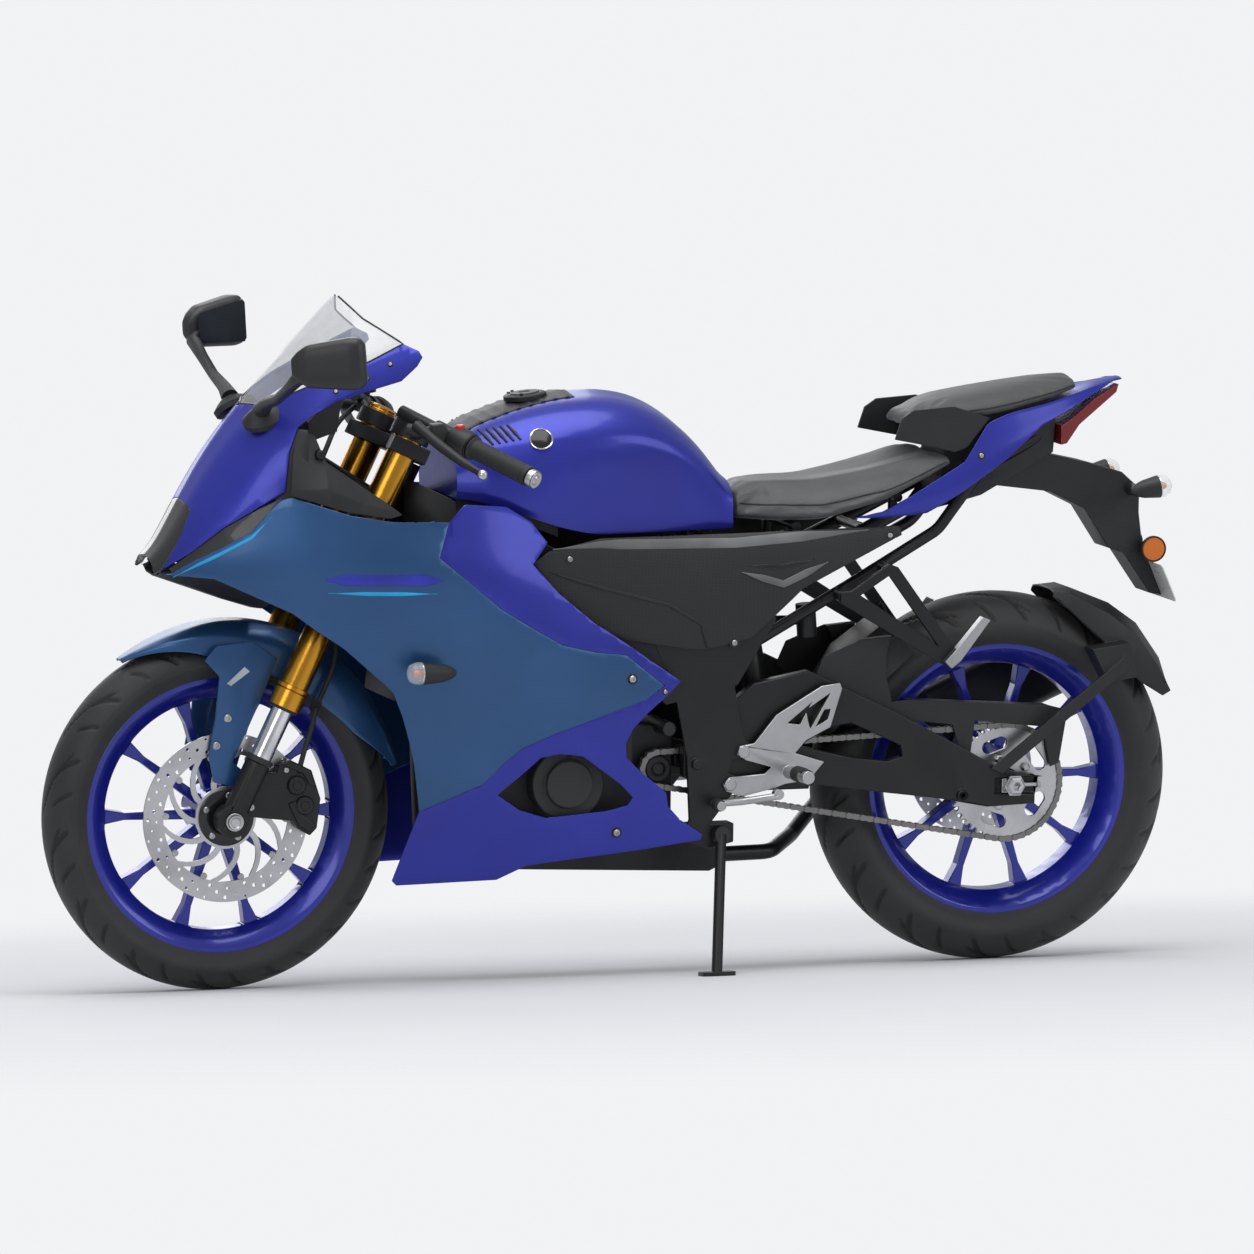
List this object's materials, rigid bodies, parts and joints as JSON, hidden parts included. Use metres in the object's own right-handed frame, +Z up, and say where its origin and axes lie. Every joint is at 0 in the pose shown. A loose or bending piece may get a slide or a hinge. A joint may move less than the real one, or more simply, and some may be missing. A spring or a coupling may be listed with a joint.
{
  "type": "sport bike",
  "caption": "Faired sport bike leaning on its side stand, with turning wheels, steering fork and folding stand",
  "frame": {"origin": "on the ground, under the middle of the parked bike's bounding box", "axes": "+X forward, +Y to the bike's left, +Z up"},
  "size_m": [1.97, 0.7642, 1.1568],
  "materials": {
    "alloy": "cast",
    "amber": "reflector",
    "black_trim": "satin",
    "blue_panel": "satin metallic",
    "chain_steel": "oiled",
    "chrome": "polished",
    "disc_steel": "brushed",
    "engine_alloy": "painted black",
    "exhaust": "black coated",
    "frame_black": "satin",
    "gold": "anodised",
    "lamp_glass": "dark",
    "lamp_red": "lens",
    "mirror_shell": "satin",
    "plate": "blank",
    "rubber": "matt",
    "screen": "clear",
    "seat": "grained",
    "signal": "clear lens",
    "teal_panel": "satin metallic",
    "tyre": "matt",
    "wheel_blue": "gloss"
  },
  "bodies": {
    "frame": {"frame": "frame_black", "belly_fairings": "blue_panel", "chain": "chain_steel", "cockpit_panels": "black_trim", "engine": "engine_alloy", "exhaust_pipe": "exhaust", "foot_controls": "alloy", "footrests": "alloy", "fuel_tank": "blue_panel", "headlamp": "lamp_glass", "mid_fairings": "blue_panel", "mirrors": "mirror_shell", "muffler": "exhaust", "nose_cowl": "blue_panel", "number_plate": "plate", "pillion_hangers": "frame_black", "pillion_seat": "seat", "position_lamps": "lamp_glass", "radiator": "engine_alloy", "rear_axle": "disc_steel", "rear_caliper": "frame_black", "rear_guards": "black_trim", "reflectors": "amber", "rider_seat": "seat", "seat_trims": "black_trim", "shock_absorber": "frame_black", "side_covers": "black_trim", "side_fairings": "teal_panel", "subframe": "frame_black", "swingarm": "frame_black", "tail_cowls": "blue_panel", "tail_lamp": "lamp_red", "tank_cap": "alloy", "turn_signals": "signal", "under_tail": "black_trim", "windscreen": "screen"},
    "steering": {"front_axle": "disc_steel", "fork_sliders": "chrome", "fork_tubes": "gold", "fork_bottoms": "frame_black", "triple_clamps": "frame_black", "handlebars": "frame_black", "grips": "rubber", "bar_controls": "frame_black", "front_caliper": "frame_black", "front_fender": "teal_panel"},
    "front_wheel_set": {"front_tyre": "tyre", "front_wheel": "wheel_blue", "front_disc": "disc_steel"},
    "rear_wheel_set": {"rear_tyre": "tyre", "rear_wheel": "wheel_blue", "rear_disc": "disc_steel", "rear_sprocket": "disc_steel"},
    "stand": {"side_stand": "frame_black"}
  },
  "joints": [
    {"name": "steering_turn", "type": "hinge", "parent": "frame", "child": "steering", "pos_m": [0.6529, -0.08795, 0.27709], "axis": [-0.4305, 0.11, 0.8959], "range_deg": [-30, 30]},
    {"name": "front_wheel_spin", "type": "hinge", "parent": "steering", "child": "front_wheel_set", "pos_m": [0.689, -0.08585, 0.29418], "axis": [0, 0.9925, -0.1219], "continuous": true},
    {"name": "rear_wheel_spin", "type": "hinge", "parent": "frame", "child": "rear_wheel_set", "pos_m": [-0.671, -0.08364, 0.31221], "axis": [0, 0.9925, -0.1219], "continuous": true},
    {"name": "stand_fold", "type": "hinge", "parent": "frame", "child": "stand", "pos_m": [-0.147, 0.05242, 0.23047], "axis": [-0.1964, 0.9798, 0.0366], "range_deg": [0, 98]}
  ]
}
